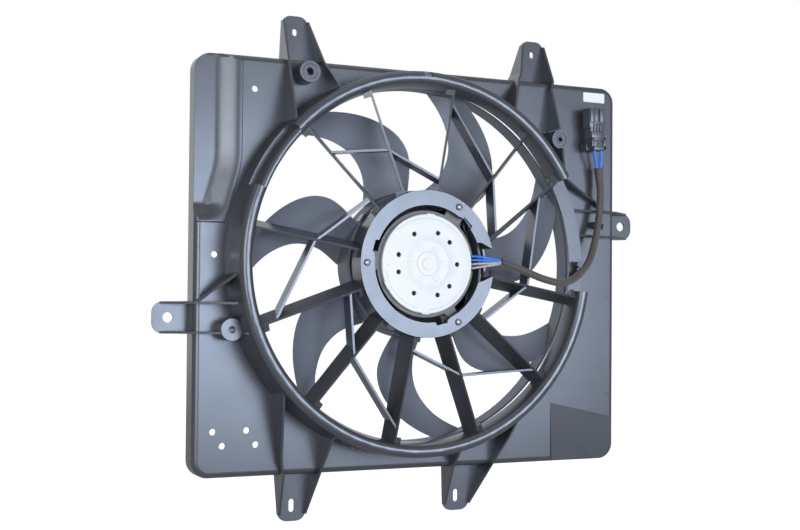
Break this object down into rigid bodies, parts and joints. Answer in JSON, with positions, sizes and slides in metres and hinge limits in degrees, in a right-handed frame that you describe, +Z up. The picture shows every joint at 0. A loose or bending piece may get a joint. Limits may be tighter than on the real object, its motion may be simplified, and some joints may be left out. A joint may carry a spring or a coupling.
{
  "type": "radiator fan",
  "caption": "Car engine-cooling fan: a square moulded shroud with a round tunnel and slanting arms that hold an electric motor and a banded fan, with a lead and plug.",
  "frame": {"origin": "on the fan's axis, in the plane of the shroud panel's front face", "axes": "+Y along the fan's axis towards the radiator, +Z up, +X to the right as seen from the motor side"},
  "size_m": [0.602, 0.0835, 0.5555],
  "materials": {
    "shroud_plastic": "satin moulded polypropylene, blue-grey sheen",
    "hardware_steel": "plated steel",
    "motor_steel": "zinc-plated deep-drawn steel",
    "zinc_plate": "bright zinc plating",
    "motor_magnets": "ferrite",
    "brass": "brass",
    "brush_card": "moulded phenolic card",
    "brushes": "carbon",
    "rubber": "soft rubber",
    "lead_jackets": "blue cable jacket",
    "lead_sleeve": "woven dark sleeve",
    "dark_fittings": "satin moulded plastic",
    "plug_plastic": "satin moulded nylon",
    "fan_plastic": "satin moulded polyamide",
    "armature_core": "laminated steel",
    "copper": "copper"
  },
  "bodies": {
    "shroud": {"shroud_panel": "shroud_plastic", "shroud_ring": "shroud_plastic", "support_arms": "shroud_plastic", "motor_carrier": "shroud_plastic", "mounting_tabs": "shroud_plastic", "screw_bosses": "shroud_plastic", "motor_screws": "hardware_steel", "motor_can": "motor_steel", "motor_flange": "motor_steel", "motor_end_plate": "zinc_plate", "motor_magnets": "motor_magnets", "bearing_bushes": "brass", "brush_card": "brush_card", "brush_holders": "brass", "brushes": "brushes", "brush_springs": "hardware_steel", "motor_grommet": "rubber", "motor_leads": "lead_jackets", "lead_sleeve": "lead_sleeve", "lead_clips": "dark_fittings", "connector_bracket": "dark_fittings", "connector_housing": "plug_plastic", "connector_latch": "plug_plastic", "connector_terminals": "brass", "connector_seal": "rubber", "connector_leads": "lead_jackets"},
    "fan": {"fan_hub": "fan_plastic", "fan_blades": "fan_plastic", "fan_band": "fan_plastic", "hub_insert": "hardware_steel", "balance_clip": "hardware_steel", "motor_shaft": "hardware_steel", "armature_core": "armature_core", "armature_windings": "copper", "commutator": "copper", "thrust_washers": "hardware_steel", "shaft_clip": "hardware_steel"}
  },
  "joints": [
    {"name": "fan_spin", "type": "hinge", "parent": "shroud", "child": "fan", "pos_m": [0, 0, 0], "axis": [0, -1, 0], "continuous": true}
  ]
}
